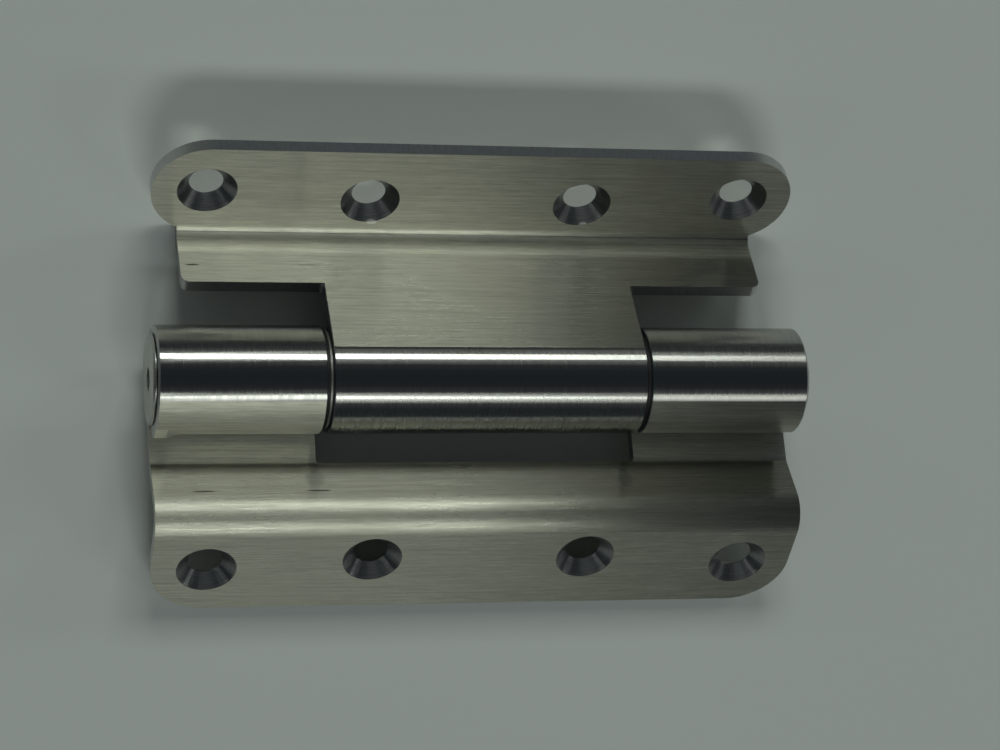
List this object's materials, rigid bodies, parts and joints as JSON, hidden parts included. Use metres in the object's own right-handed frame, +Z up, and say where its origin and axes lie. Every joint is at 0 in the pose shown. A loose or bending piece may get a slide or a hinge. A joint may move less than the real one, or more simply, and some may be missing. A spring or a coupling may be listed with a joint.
{
  "type": "cranked door hinge",
  "caption": "Cranked butt hinge in brushed stainless sheet: two L-shaped leaves with countersunk holes and rolled knuckles, joined by a headed pin.",
  "frame": {"origin": "on the surface it lies on, under the middle of its outline seen from above", "axes": "+X along the barrel, +Z up from the surface, +Y towards the door leaf"},
  "size_m": [0.1214, 0.0836, 0.021],
  "materials": {
    "leaf_steel": "brushed along the barrel",
    "pin_steel": "turned",
    "bush_plastic": "plain black",
    "washer_steel": "dull"
  },
  "bodies": {
    "frame_side": {"frame_leaf": "leaf_steel", "hinge_pin": "pin_steel", "left_sleeve": "bush_plastic", "right_sleeve": "bush_plastic", "thrust_washer": "washer_steel", "cap_screws": "pin_steel"},
    "door_side": {"door_leaf": "leaf_steel", "left_bush": "bush_plastic", "right_bush": "bush_plastic"}
  },
  "joints": [
    {"name": "barrel_hinge", "type": "hinge", "parent": "frame_side", "child": "door_side", "pos_m": [0, -0.0005, 0.01125], "axis": [1, 0, 0], "range_deg": [-145, 180]}
  ]
}
